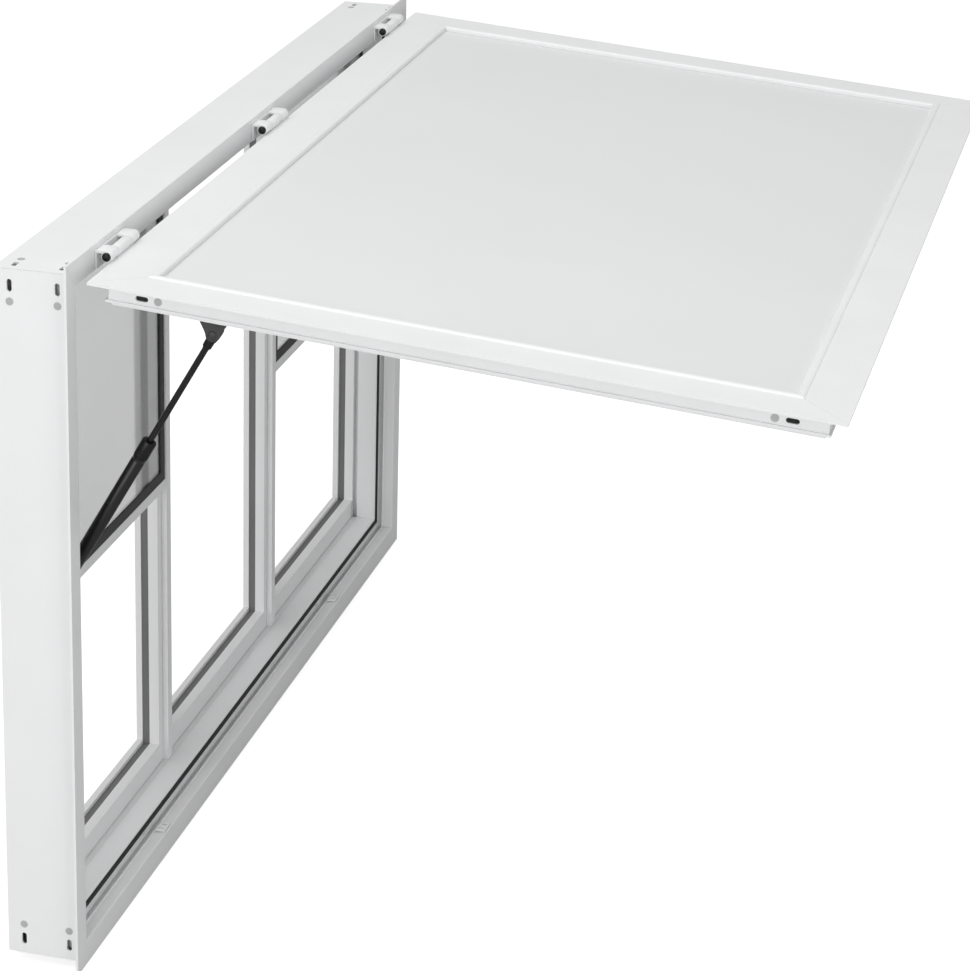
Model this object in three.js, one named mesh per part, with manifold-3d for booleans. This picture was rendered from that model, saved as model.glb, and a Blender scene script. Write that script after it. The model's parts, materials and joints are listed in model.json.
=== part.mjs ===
// Serving window: a white aluminium frame with a top-hung awning door on two gas
// struts, and two short glazed sashes that slide up and down between the jambs and
// the mullions. Millimetres, +Z up, +X across the window, -Y outdoors. It is drawn
// with the door open and both sashes raised.
import * as THREE from 'three';
import { mergeVertices } from 'three/addons/utils/BufferGeometryUtils.js';
import Module from 'manifold-3d';

const wasm = await Module();
wasm.setup();

// Overall sizes
const BOX_W = 1524;
const BOX_H = 914.4;
const BOX_D = 99;
const WALL = 3;
const FLANGE = 13;

// Fits
const GAP = 0.3;
const MITRE_GAP = 0.22;

// Frame section: heights are measured inwards from the outside of the box
const LIP = 20;
const LIP_BACK = 19;
const CHANNEL = 14;
const DOOR_FACE_Y = -8.1;
const DOOR_DEPTH = 26;
const DOOR_BACK_ROOM = 8.1;
const UPSTAND_Y = DOOR_FACE_Y + DOOR_DEPTH + DOOR_BACK_ROOM;
const REVEAL = 40;
const GROOVE = 28;
const GROOVE_Y0 = 57;
const GROOVE_Y1 = 65;
const POCKET = 24;
const POCKET_Y0 = 79.5;
const POCKET_Y1 = 90;
const REAR_LIP = 44;
const SEAL_A0 = 29;
const SEAL_A1 = 37;
const SEAL_PROUD = 3;

// Sill rail, mullions and their front bars
const RAIL_TOP = 69;
const RAIL_REAR_TOP = 73;
const RAIL_FLOOR = 57;
const MULLION_W = 48;
const MULLION_X = 247;
const MULLION_POCKET = 10;
const BAR_W = 17;

// Sashes
const SASH_BOTTOM = 450;
const SASH_RAIL_H = 14.5;
const SASH_BAND = 15;
const SASH_EDGE = 11;
const SASH_SIDE = 15;
const SASH_THICK = 5.2;
const GLASS_T = 3;

// Slots near every corner
const SLOT_W = 6.4;
const SLOT_L = 16;
const SLOT_IN = 20.6;
const SLOT_ROWS = [16.3, 77.4];

// Awning door, drawn closed and then turned open
const DOOR_OPEN = 85;
const AXIS_Y = -15;
const AXIS_DROP = 1.8;
const DOOR_W = BOX_W - 7.2;
const DOOR_L = BOX_H - 14.4;
const DOOR_Z0 = 7.4;
const DOOR_SHEET = 3;
const DOOR_SIDE = 18.4;
const DOOR_TUBE = 52;
const DOOR_FIN0 = 25;
const DOOR_FIN1 = 29;
const DOOR_FIN_PROUD = 4.5;
const DOOR_FIN_DEPTH = DOOR_DEPTH + DOOR_FIN_PROUD;
const DOOR_FLAT = 57;
const DOOR_BEAD = 68;
const PANEL_IN = 5.5;
const PANEL_T = 2.5;
const PANEL_SEAT = 6;
const DOOR_SLOT_IN = 63;
const DOOR_SLOT_DEEP = 15.5;

// Hinges
const HINGE_L = 100;
const HINGE_STEP = 627;
const BARREL_R = 7;
const PIN_R = 2.5;
const LEAF_T = 2;
const MID_KNUCKLE = 46;

// Gas struts
const STRUT_X = 62;
const FOOT_Y = 38;
const FOOT_DROP = 420.6;
const HEAD_ALONG = 151.4;
const HEAD_IN = 59.5;
const STRUT_R = 8.8;
const STRUT_BORE = 7;
const COLLAR_R = 9.4;
const COLLAR_TOP = 231;
const COLLAR_L = 25;
const ROD_R = 4;
const ROD_FOOT = 160;
const EYE_R = 8;
const EYE_W = 10;
const STUD_R = 4;

// Latches and keepers
const LATCH_X = 418;
const LATCH_Z = 50;
const LATCH_BODY_T = 12.8;
const TAIL_LIFT = 1.4;
const TAIL = 34;
const LEVER = 58;

const AXIS_Z = BOX_H - AXIS_DROP;
const IN_X = BOX_W / 2 - REVEAL;
const WHITE = { color: 0xe9eaec, roughness: 0.42, metalness: 0.0 };
const BLACK = { color: 0x17181a, roughness: 0.5, metalness: 0.0 };
const RUBBER = { color: 0x1d1e20, roughness: 0.85, metalness: 0.0 };
const GREY = { color: 0x5c5e62, roughness: 0.7, metalness: 0.0 };
const STEEL = { color: 0xc6c8cb, roughness: 0.25, metalness: 1.0 };
const GLASS = { color: 0x8d959b, roughness: 0.05, metalness: 0.0 };

const part = new THREE.Group();
part.name = 'serving_window';

// ---------- shape helpers ----------

function solid(geometry) {
  const bare = geometry.clone();
  bare.deleteAttribute('normal');
  bare.deleteAttribute('uv');
  const merged = mergeVertices(bare, 1e-4);
  return new wasm.Manifold(new wasm.Mesh({
    numProp: 3,
    vertProperties: new Float32Array(merged.attributes.position.array),
    triVerts: new Uint32Array(merged.index.array),
  }));
}

function join(bodies) {
  let whole = bodies[0];
  for (const body of bodies.slice(1)) whole = whole.add(body);
  return whole;
}

function cut(body, tools) {
  let left = body;
  for (const tool of tools) left = left.subtract(tool);
  return left;
}

function mirrorX(body) {
  return body.mirror([1, 0, 0]);
}

function box(x0, x1, y0, y1, z0, z1) {
  const geometry = new THREE.BoxGeometry(x1 - x0, y1 - y0, z1 - z0);
  geometry.translate((x0 + x1) / 2, (y0 + y1) / 2, (z0 + z1) / 2);
  return solid(geometry);
}

function extrude(points, depth, holes = []) {
  const shape = new THREE.Shape(points.map(([x, y]) => new THREE.Vector2(x, y)));
  for (const hole of holes) {
    shape.holes.push(new THREE.Path(hole.map(([x, y]) => new THREE.Vector2(x, y))));
  }
  return new THREE.ExtrudeGeometry(shape, { depth, bevelEnabled: false, steps: 1 });
}

// Points are (y, z); the prism runs from x0 to x1.
function alongX(points, x0, x1, holes = []) {
  const geometry = extrude(points, x1 - x0, holes);
  geometry.rotateX(Math.PI / 2).rotateZ(Math.PI / 2);
  geometry.translate(x0, 0, 0);
  return solid(geometry);
}

// Points are (x, z); the prism runs from y0 to y1.
function alongY(points, y0, y1, holes = []) {
  const geometry = extrude(points, y1 - y0, holes);
  geometry.rotateX(Math.PI / 2);
  geometry.translate(0, y1, 0);
  return solid(geometry);
}

// Points are (x, y); the prism runs from z0 to z1.
function alongZ(points, z0, z1, holes = []) {
  const geometry = extrude(points, z1 - z0, holes);
  geometry.translate(0, 0, z0);
  return solid(geometry);
}

function rodX(x0, x1, y, z, radius, sides = 24) {
  const geometry = new THREE.CylinderGeometry(radius, radius, x1 - x0, sides);
  geometry.rotateZ(Math.PI / 2);
  geometry.translate((x0 + x1) / 2, y, z);
  return solid(geometry);
}

function rodY(y0, y1, x, z, radius, sides = 20) {
  const geometry = new THREE.CylinderGeometry(radius, radius, y1 - y0, sides);
  geometry.translate(x, (y0 + y1) / 2, z);
  return solid(geometry);
}

// Profile points are (radius, height); the turned body stands along +Z.
function turned(profile, sides = 32) {
  const points = profile.map(([r, h]) => new THREE.Vector2(r, h));
  const geometry = new THREE.LatheGeometry(points, sides);
  geometry.rotateX(Math.PI / 2);
  return solid(geometry);
}

function rectangle(x0, x1, y0, y1) {
  return [[x0, y0], [x1, y0], [x1, y1], [x0, y1]];
}

function obround(width, length, steps = 8) {
  const points = [];
  const straight = (length - width) / 2;
  for (let end = 0; end < 2; end += 1) {
    for (let i = 0; i <= steps; i += 1) {
      const angle = Math.PI * (end + i / steps);
      const shift = end === 0 ? straight : -straight;
      points.push([width / 2 * Math.cos(angle), shift + width / 2 * Math.sin(angle)]);
    }
  }
  return points;
}

function add(name, body, finish) {
  const moved = body.translate([0, -(BOX_D + WALL) / 2, 0]);
  const data = moved.getMesh();
  const geometry = new THREE.BufferGeometry();
  geometry.setAttribute('position', new THREE.BufferAttribute(data.vertProperties, 3));
  geometry.setIndex(new THREE.BufferAttribute(data.triVerts, 1));
  const flat = geometry.toNonIndexed();
  flat.computeVertexNormals();
  const mesh = new THREE.Mesh(flat, new THREE.MeshStandardMaterial(finish));
  mesh.name = name;
  part.add(mesh);
}

// ---------- mitred members ----------

// A member's section is drawn as (a, y), a being the way in from its outer face.
// Its length runs along the third axis, with both ends cut at 45 degrees.
function mitred(outline, hollows, length) {
  const geometry = extrude(outline, 1, hollows);
  const place = geometry.attributes.position;
  for (let i = 0; i < place.count; i += 1) {
    const end = place.getZ(i) > 0.5 ? 1 : -1;
    place.setZ(i, end * (length / 2 - place.getX(i) - MITRE_GAP));
  }
  return solid(geometry);
}

const SIDES = ['sill', 'left', 'right', 'head'];

function stand(body, side, width, height) {
  if (side === 'sill') return body.rotate([0, -90, 0]);
  if (side === 'left') return body.translate([-width / 2, 0, height / 2]);
  if (side === 'right') return body.rotate([0, 180, 0]).translate([width / 2, 0, height / 2]);
  return body.rotate([0, 90, 0]).translate([0, 0, height]);
}

function slotCutter(y, along, depth) {
  const outline = obround(SLOT_W, SLOT_L);
  const geometry = extrude(outline, depth);
  geometry.rotateX(Math.PI / 2).rotateZ(Math.PI / 2);
  geometry.translate(-1, y, along);
  return solid(geometry);
}

// ---------- frame ----------

const FRAME_OUTLINE = [
  [-FLANGE, 0], [LIP - 1.5, 0], [LIP - 0.4, 0.5], [LIP, 1.5], [LIP - 1.8, LIP_BACK - 2],
  [LIP - 0.6, LIP_BACK - 1], [LIP - 0.6, LIP_BACK], [CHANNEL, LIP_BACK],
  [CHANNEL, UPSTAND_Y], [LIP - 1, UPSTAND_Y], [LIP - 1, UPSTAND_Y - 1],
  [LIP + 0.5, UPSTAND_Y - 1], [LIP + 0.5, UPSTAND_Y], [SEAL_A0, UPSTAND_Y],
  [SEAL_A0, UPSTAND_Y + 3], [SEAL_A1, UPSTAND_Y + 3], [SEAL_A1, UPSTAND_Y],
  [REVEAL - 1.6, UPSTAND_Y], [REVEAL, UPSTAND_Y + 2], [REVEAL, GROOVE_Y0],
  [GROOVE, GROOVE_Y0], [GROOVE, GROOVE_Y1], [REVEAL, GROOVE_Y1],
  [REVEAL, POCKET_Y0], [POCKET, POCKET_Y0], [POCKET, POCKET_Y1],
  [REAR_LIP, POCKET_Y1], [REAR_LIP, BOX_D], [0, BOX_D], [0, WALL], [-FLANGE, WALL],
];

const FRAME_HOLLOWS = [
  [
    [WALL, 2 * WALL], [WALL, UPSTAND_Y + 3], [CHANNEL - WALL, UPSTAND_Y + 3],
    [CHANNEL - WALL, LIP_BACK - WALL], [LIP - 5, LIP_BACK - WALL], [LIP - 5, 2 * WALL],
  ],
  [
    [WALL, UPSTAND_Y + 6], [WALL, BOX_D - WALL], [REAR_LIP - WALL, BOX_D - WALL],
    [REAR_LIP - WALL, POCKET_Y1 + WALL], [POCKET - WALL, POCKET_Y1 + WALL],
    [POCKET - WALL, POCKET_Y0 - WALL], [REVEAL - WALL, POCKET_Y0 - WALL],
    [REVEAL - WALL, GROOVE_Y1 + WALL], [GROOVE - WALL, GROOVE_Y1 + WALL],
    [GROOVE - WALL, GROOVE_Y0 - WALL], [REVEAL - WALL, GROOVE_Y0 - WALL],
    [REVEAL - WALL, UPSTAND_Y + 6],
  ],
];

function frameCutters(length) {
  const tools = [];
  for (const y of SLOT_ROWS) {
    for (const end of [-1, 1]) {
      tools.push(slotCutter(y, end * (length / 2 - SLOT_IN), WALL + 2));
    }
  }
  return tools;
}

function latchSlot(x) {
  return box(x - 7, x + 7, UPSTAND_Y - 1, UPSTAND_Y + 2.2, 22.5, 25.5);
}

const frameLengths = { sill: BOX_W, head: BOX_W, left: BOX_H, right: BOX_H };
const frameNames = {
  sill: 'frame_sill', head: 'frame_head', left: 'frame_jamb_left', right: 'frame_jamb_right',
};
for (const side of SIDES) {
  const length = frameLengths[side];
  const raw = mitred(FRAME_OUTLINE, FRAME_HOLLOWS, length);
  const bored = cut(raw, frameCutters(length));
  let member = stand(bored, side, BOX_W, BOX_H);
  if (side === 'sill') member = cut(member, [latchSlot(-LATCH_X - 28), latchSlot(LATCH_X - 42)]);
  add(frameNames[side], member, WHITE);
}

// L-shaped keys lie in the hollow of the section and hold the mitres together.
function cornerKey(x, z, towardX, towardZ, reach, thick, y0, y1) {
  const points = [
    [0, 0], [reach, 0], [reach, thick], [thick, thick], [thick, reach], [0, reach],
  ];
  const outline = points.map(([p, q]) => [x + towardX * p, z + towardZ * q]);
  if (towardX * towardZ < 0) outline.reverse();
  return alongY(outline, y0, y1);
}

const CORNERS = [
  ['bottom_left', -1, -1], ['bottom_right', 1, -1], ['top_left', -1, 1], ['top_right', 1, 1],
];

function cornerKeys(halfW, z0, z1, inset, reach, thick, y0, y1) {
  const keys = {};
  for (const [name, sx, sz] of CORNERS) {
    const z = sz < 0 ? z0 + inset : z1 - inset;
    keys[name] = cornerKey(sx * (halfW - inset), z, -sx, -sz, reach, thick, y0, y1);
  }
  return keys;
}

const keyY0 = UPSTAND_Y + 6 + 1;
const frameKeys = cornerKeys(BOX_W / 2, 0, BOX_H, WALL + GAP, 85, 5, keyY0, keyY0 + 18);
for (const [name] of CORNERS) add(`frame_key_${name}`, frameKeys[name], STEEL);

// A track strip fills the sill's sash groove; the jamb and head grooves stay open.
const trackTop = REVEAL;
add('sill_track', box(-IN_X + GAP, IN_X - GAP, GROOVE_Y0 + GAP, GROOVE_Y1 - GAP,
  GROOVE + GAP, trackTop), WHITE);

const RAIL_OUTLINE = [
  [GROOVE_Y1 + GAP, REVEAL + GAP], [POCKET_Y1 - GAP, REVEAL + GAP],
  [POCKET_Y1 - GAP, REAR_LIP + GAP], [BOX_D - GAP, REAR_LIP + GAP],
  [BOX_D - GAP, RAIL_REAR_TOP], [POCKET_Y1, RAIL_REAR_TOP], [POCKET_Y1, RAIL_FLOOR],
  [POCKET_Y0, RAIL_FLOOR], [POCKET_Y0, RAIL_TOP], [GROOVE_Y1 + GAP, RAIL_TOP],
];
const RAIL_HOLLOW = [
  [GROOVE_Y1 + WALL, REVEAL + WALL], [GROOVE_Y1 + WALL, RAIL_TOP - WALL],
  [POCKET_Y0 - WALL, RAIL_TOP - WALL], [POCKET_Y0 - WALL, RAIL_FLOOR - WALL],
  [BOX_D - 2 * WALL, RAIL_FLOOR - WALL], [BOX_D - 2 * WALL, REAR_LIP + WALL],
  [POCKET_Y1 - WALL, REAR_LIP + WALL], [POCKET_Y1 - WALL, REVEAL + WALL],
];
const sillRail = alongX(RAIL_OUTLINE, -IN_X + GAP, IN_X - GAP, [RAIL_HOLLOW]);
const railEnds = [-1, 1].map((s) => box(
  s * IN_X - 5, s * IN_X + 5, POCKET_Y1 - 1, BOX_D + 1, REAR_LIP, RAIL_REAR_TOP + 1));
const rearStep = REAR_LIP - REVEAL;
const trimmedRail = cut(sillRail, railEnds.map((b, i) => b.translate([i ? -rearStep : rearStep,
  0, 0])));
add('sill_rail', trimmedRail, WHITE);

// ---------- mullions and front bars ----------

function mullion(x) {
  const half = MULLION_W / 2;
  const web = half - MULLION_POCKET;
  const outline = [
    [x - half, GROOVE_Y1 + GAP], [x + half, GROOVE_Y1 + GAP], [x + half, POCKET_Y0],
    [x + web, POCKET_Y0], [x + web, POCKET_Y1], [x + half, POCKET_Y1],
    [x + half, BOX_D - GAP], [x - half, BOX_D - GAP], [x - half, POCKET_Y1],
    [x - web, POCKET_Y1], [x - web, POCKET_Y0], [x - half, POCKET_Y0],
  ];
  const hollow = [
    [x - half + WALL, GROOVE_Y1 + WALL], [x - half + WALL, POCKET_Y0 - WALL],
    [x - web + WALL, POCKET_Y0 - WALL], [x - web + WALL, POCKET_Y1 + WALL],
    [x - half + WALL, POCKET_Y1 + WALL], [x - half + WALL, BOX_D - WALL - 0.5],
    [x + half - WALL, BOX_D - WALL - 0.5], [x + half - WALL, POCKET_Y1 + WALL],
    [x + web - WALL, POCKET_Y1 + WALL], [x + web - WALL, POCKET_Y0 - WALL],
    [x + half - WALL, POCKET_Y0 - WALL], [x + half - WALL, GROOVE_Y1 + WALL],
  ];
  const bottom = RAIL_FLOOR + GAP;
  const top = BOX_H - POCKET - GAP;
  const post = alongZ(outline, bottom, top, [hollow]);
  const wide = half + 1;
  const trims = [
    box(x - wide, x + wide, 60, POCKET_Y0 + GAP, 0, RAIL_TOP + GAP),
    box(x - wide, x + wide, POCKET_Y1 - GAP, 105, 0, RAIL_REAR_TOP + GAP),
    box(x - wide, x + wide, 60, POCKET_Y0 + GAP, BOX_H - REVEAL - GAP, BOX_H),
    box(x - wide, x + wide, POCKET_Y1 - GAP, 105, BOX_H - REAR_LIP - GAP, BOX_H),
  ];
  return cut(post, trims);
}

function frontBar(x) {
  const outline = rectangle(x - BAR_W / 2, x + BAR_W / 2, GROOVE_Y0 + GAP, GROOVE_Y1);
  return alongZ(outline, trackTop + GAP, BOX_H - GROOVE - GAP,
    [rectangle(x - BAR_W / 2 + 2, x + BAR_W / 2 - 2, GROOVE_Y0 + 2, GROOVE_Y1 - 2).reverse()]);
}

function trimBar(body) {
  const head = BOX_H - REVEAL;
  return cut(body, [box(-BOX_W, BOX_W, GROOVE_Y1 - GAP, GROOVE_Y1 + 1, head - GAP, BOX_H)]);
}

for (const [name, sign] of [['left', -1], ['right', 1]]) {
  const middle = sign * MULLION_X;
  add(`mullion_${name}`, mullion(middle), WHITE);
  add(`mullion_bar_${name}`, trimBar(frontBar(middle + sign * -1)), WHITE);
}

// ---------- seals and gaskets ----------

function ring(x0, x1, z0, z1, sides, y0, y1) {
  const [left, right, low, high] = sides;
  const outer = rectangle(x0, x1, z0, z1);
  const inner = rectangle(x0 + left, x1 - right, z0 + low, z1 - high).reverse();
  return alongY(outer, y0, y1, [inner]);
}

const sealY0 = UPSTAND_Y - SEAL_PROUD;
const sealY1 = UPSTAND_Y + 3 - GAP;
const sealIn = SEAL_A0 + GAP;
const sealWide = SEAL_A1 - SEAL_A0 - 2 * GAP;
const sealBase = ring(-BOX_W / 2 + sealIn, BOX_W / 2 - sealIn, sealIn, BOX_H - sealIn,
  [sealWide, sealWide, sealWide, sealWide], UPSTAND_Y - 1, sealY1);
const sealBulb = ring(-BOX_W / 2 + sealIn + 1.2, BOX_W / 2 - sealIn - 1.2, sealIn + 1.2,
  BOX_H - sealIn - 1.2, [5, 5, 5, 5], sealY0, UPSTAND_Y);
add('door_seal', join([sealBase, sealBulb]), RUBBER);

const openings = {
  left: [-IN_X, -MULLION_X - MULLION_W / 2],
  middle: [-MULLION_X + MULLION_W / 2, MULLION_X - MULLION_W / 2],
  right: [MULLION_X + MULLION_W / 2, IN_X],
};
const jambPocket = REVEAL - POCKET;
for (const [name, [x0, x1]] of Object.entries(openings)) {
  const leftIn = name === 'left' ? jambPocket : MULLION_POCKET;
  const rightIn = name === 'right' ? jambPocket : MULLION_POCKET;
  const sides = [leftIn - 2, rightIn - 2, RAIL_TOP - RAIL_FLOOR - 2, jambPocket - 2];
  const body = ring(x0 - leftIn + GAP, x1 + rightIn - GAP, RAIL_FLOOR + GAP,
    BOX_H - POCKET - GAP, sides, POCKET_Y0 + GAP, POCKET_Y1 - GAP);
  add(`glazing_gasket_${name}`, body, GREY);
}

// ---------- sliding sashes ----------

const sashX0 = -BOX_W / 2 + GROOVE + GAP;
const sashX1 = -MULLION_X - 1 + 2 - BAR_W / 2 - GAP;
const sashBack = GROOVE_Y1 - GAP;
const sashFront = sashBack - SASH_THICK;
const glassFront = sashBack - GLASS_T;
const glassBottom = SASH_BOTTOM + SASH_RAIL_H + GAP;
const sashTop = BOX_H - GROOVE - GAP;

function sashPieces() {
  const rail = box(sashX0, sashX1, sashFront, sashBack, SASH_BOTTOM, SASH_BOTTOM + SASH_RAIL_H);
  const glass = box(sashX0, sashX1, glassFront, sashBack, glassBottom, sashTop);
  const sides = [SASH_EDGE, SASH_SIDE, SASH_BAND, SASH_EDGE];
  const gasket = ring(sashX0, sashX1, glassBottom, sashTop, sides, sashFront, glassFront - GAP);
  return { rail, glass, gasket };
}

for (const [name, sign] of [['left', -1], ['right', 1]]) {
  const pieces = sashPieces();
  const turn = (body) => (sign < 0 ? body : mirrorX(body));
  add(`sash_${name}_rail`, turn(pieces.rail), WHITE);
  add(`sash_${name}_glass`, turn(pieces.glass), GLASS);
  add(`sash_${name}_gasket`, turn(pieces.gasket), RUBBER);
}

// ---------- awning door ----------

function openDoor(body) {
  return body
    .translate([0, -AXIS_Y, -AXIS_Z])
    .rotate([-DOOR_OPEN, 0, 0])
    .translate([0, AXIS_Y, AXIS_Z]);
}

const PANEL_BACK = PANEL_IN + PANEL_T + GAP;
const DOOR_OUTLINE = [
  [0, 0], [DOOR_FLAT, 0], [DOOR_FLAT + 1.2, -1.2], [DOOR_FLAT + 3.5, -2],
  [DOOR_BEAD - 3.5, -2], [DOOR_BEAD - 1, -1.1], [DOOR_BEAD, 0.5],
  [DOOR_BEAD, PANEL_IN - GAP], [DOOR_BEAD - PANEL_SEAT, PANEL_IN - GAP],
  [DOOR_BEAD - PANEL_SEAT, PANEL_BACK], [DOOR_BEAD, PANEL_BACK],
  [DOOR_BEAD, PANEL_BACK + WALL], [DOOR_TUBE, PANEL_BACK + WALL],
  [DOOR_TUBE, DOOR_DEPTH], [DOOR_FIN1, DOOR_DEPTH], [DOOR_FIN1, DOOR_FIN_DEPTH],
  [DOOR_FIN0, DOOR_FIN_DEPTH], [DOOR_FIN0, DOOR_DEPTH], [DOOR_SIDE, DOOR_DEPTH],
  [DOOR_SIDE, DOOR_DEPTH - WALL], [DOOR_SIDE + 2.6, DOOR_DEPTH - WALL],
  [DOOR_SIDE + 2.6, DOOR_SHEET], [0, DOOR_SHEET],
];
const DOOR_HOLLOW = [
  [DOOR_SIDE + 5.6, DOOR_SHEET + 2], [DOOR_SIDE + 5.6, DOOR_DEPTH - WALL],
  [DOOR_TUBE - WALL, DOOR_DEPTH - WALL], [DOOR_TUBE - WALL, DOOR_SHEET + 2],
];

function placeDoor(body, side) {
  const standing = stand(body, side, DOOR_W, DOOR_L);
  return openDoor(standing.translate([0, DOOR_FACE_Y, DOOR_Z0]));
}

const doorNames = {
  sill: 'door_rail_free', head: 'door_rail_hinge', left: 'door_stile_left',
  right: 'door_stile_right',
};
const webA = DOOR_SIDE + 2.6;
const slotY = DOOR_SLOT_DEEP;
for (const side of SIDES) {
  const upright = side === 'left' || side === 'right';
  const length = upright ? DOOR_L : DOOR_W;
  let member = mitred(DOOR_OUTLINE, [DOOR_HOLLOW], length);
  const tools = [];
  if (upright) {
    for (const end of [-1, 1]) {
      const slot = slotCutter(slotY, end * (length / 2 - DOOR_SLOT_IN), WALL + 2);
      tools.push(slot.translate([webA, 0, 0]));
    }
  }
  if (side === 'sill') {
    for (const x of [-LATCH_X, LATCH_X]) {
      tools.push(box(DOOR_FIN0 - 1, DOOR_FIN1 + 1, DOOR_DEPTH + GAP, DOOR_FIN_DEPTH + 1,
        x - TAIL - 8, x + TAIL + 8));
    }
  }
  member = cut(member, tools);
  add(doorNames[side], placeDoor(member, side), WHITE);
}

const panelEdge = DOOR_BEAD - PANEL_SEAT + GAP;
const panel = box(-DOOR_W / 2 + panelEdge, DOOR_W / 2 - panelEdge, DOOR_FACE_Y + PANEL_IN,
  DOOR_FACE_Y + PANEL_IN + PANEL_T, DOOR_Z0 + panelEdge, DOOR_Z0 + DOOR_L - panelEdge);
add('door_panel', openDoor(panel), WHITE);

const doorKeys = cornerKeys(DOOR_W / 2, DOOR_Z0, DOOR_Z0 + DOOR_L,
  DOOR_SIDE + 5.6 + GAP, 80, 5, DOOR_FACE_Y + 7, DOOR_FACE_Y + DOOR_DEPTH - WALL - 1.5);
for (const [name] of CORNERS) add(`door_key_${name}`, openDoor(doorKeys[name]), STEEL);

// ---------- hinges ----------

const leafFace = -GAP - LEAF_T;

function frameLeaf(x) {
  const half = HINGE_L / 2;
  const knuckle = (HINGE_L - MID_KNUCKLE) / 2 - GAP;
  const plate = box(x - half, x + half, leafFace, -GAP, BOX_H - LIP + 2, AXIS_Z + BARREL_R);
  const bodies = [plate];
  for (const x0 of [x - half, x + half - knuckle]) {
    bodies.push(box(x0, x0 + knuckle, AXIS_Y, -GAP, AXIS_Z + BARREL_R - 3, AXIS_Z + BARREL_R));
    bodies.push(rodX(x0, x0 + knuckle, AXIS_Y, AXIS_Z, BARREL_R, 32));
  }
  return cut(join(bodies), [rodX(x - half - 1, x + half + 1, AXIS_Y, AXIS_Z, PIN_R + GAP, 20)]);
}

const doorLeafY0 = DOOR_FACE_Y + DOOR_SHEET + GAP;
const doorLeafY1 = doorLeafY0 + LEAF_T;
const doorLeafTop = DOOR_Z0 + DOOR_L + GAP;

function doorLeaf(x) {
  const half = HINGE_L / 2;
  const mid = MID_KNUCKLE / 2;
  const plate = box(x - half, x + half, doorLeafY0, doorLeafY1, doorLeafTop - 16.5, doorLeafTop + LEAF_T);
  const strap = box(x - mid, x + mid, AXIS_Y + 3, doorLeafY1, doorLeafTop, doorLeafTop + LEAF_T);
  const barrel = rodX(x - mid, x + mid, AXIS_Y, AXIS_Z, BARREL_R, 32);
  const bore = rodX(x - half - 1, x + half + 1, AXIS_Y, AXIS_Z, PIN_R + GAP, 20);
  return cut(join([plate, strap, barrel]), [bore]);
}

function hingePin(x) {
  const half = HINGE_L / 2 + GAP;
  const pin = rodX(x - half - 1, x + half + 1, AXIS_Y, AXIS_Z, PIN_R, 20);
  const cap = turned([[0, 0], [5.5, 0], [5.5, 1.2], [4.6, 2.6], [2.6, 3.6], [0, 4]], 24);
  const right = cap.rotate([0, 90, 0]).translate([x + half, AXIS_Y, AXIS_Z]);
  const left = cap.rotate([0, -90, 0]).translate([x - half, AXIS_Y, AXIS_Z]);
  return join([pin, left, right]);
}

for (const [name, x] of [['left', -HINGE_STEP], ['middle', 0], ['right', HINGE_STEP]]) {
  add(`hinge_${name}_frame_leaf`, frameLeaf(x), WHITE);
  add(`hinge_${name}_door_leaf`, openDoor(doorLeaf(x)), WHITE);
  add(`hinge_${name}_pin`, hingePin(x), BLACK);
}

// ---------- gas struts ----------

const strutX = BOX_W / 2 - STRUT_X;
const footZ = AXIS_Z - FOOT_DROP;
const openAngle = DOOR_OPEN * Math.PI / 180;
const along = [-Math.sin(openAngle), -Math.cos(openAngle)];
const inward = [Math.cos(openAngle), -Math.sin(openAngle)];
const headY = AXIS_Y + HEAD_ALONG * along[0] + HEAD_IN * inward[0];
const headZ = AXIS_Z + HEAD_ALONG * along[1] + HEAD_IN * inward[1];
const strutLength = Math.hypot(headY - FOOT_Y, headZ - footZ);
const strutLean = Math.atan2(FOOT_Y - headY, headZ - footZ) * 180 / Math.PI;

function placeStrut(body) {
  return body.rotate([strutLean, 0, 0]).translate([strutX, FOOT_Y, footZ]);
}

function strutCylinder() {
  const eye = rodX(-EYE_W / 2, EYE_W / 2, 0, 0, EYE_R, 32);
  const tube = turned([
    [0, 6], [5, 6], [STRUT_R - 1, 11], [STRUT_R, 13],
    [STRUT_R, COLLAR_TOP - COLLAR_L - GAP], [STRUT_BORE, COLLAR_TOP - COLLAR_L - GAP],
    [STRUT_BORE, 18], [0, 18],
  ]);
  return cut(join([eye, tube]), [rodX(-20, 20, 0, 0, STUD_R + 0.2)]);
}

function strutCollar() {
  const foot = COLLAR_TOP - COLLAR_L;
  const body = turned([
    [0, foot - 8], [STRUT_BORE - GAP, foot - 8], [STRUT_BORE - GAP, foot], [COLLAR_R, foot],
    [COLLAR_R, COLLAR_TOP - 1.5], [COLLAR_R - 1.5, COLLAR_TOP], [0, COLLAR_TOP],
  ]);
  const bore = turned([[0, foot - 20], [ROD_R + GAP, foot - 20],
    [ROD_R + GAP, COLLAR_TOP + 5], [0, COLLAR_TOP + 5]], 24);
  return cut(body, [bore]);
}

function strutRod() {
  const top = strutLength - 13;
  return turned([
    [0, ROD_FOOT], [STRUT_BORE - GAP, ROD_FOOT], [STRUT_BORE - GAP, ROD_FOOT + 8],
    [ROD_R, ROD_FOOT + 8], [ROD_R, top], [0, top],
  ], 24);
}

function strutRodEnd() {
  const top = strutLength;
  const neck = turned([[0, top - 24], [5.2, top - 24], [6, top - 23], [6, top - 4],
    [0, top - 4]], 24);
  const eye = rodX(-EYE_W / 2, EYE_W / 2, 0, top, EYE_R, 32);
  const socket = turned([[0, top - 30], [ROD_R + GAP, top - 30],
    [ROD_R + GAP, top - 13 + GAP], [0, top - 13 + GAP]], 24);
  const rim = rodX(EYE_W / 2 - 1, EYE_W / 2 + 1, 0, top, 3, 16);
  return cut(join([neck, eye]), [socket, rim]);
}

const revealX = BOX_W / 2 - REVEAL - GAP;

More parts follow.
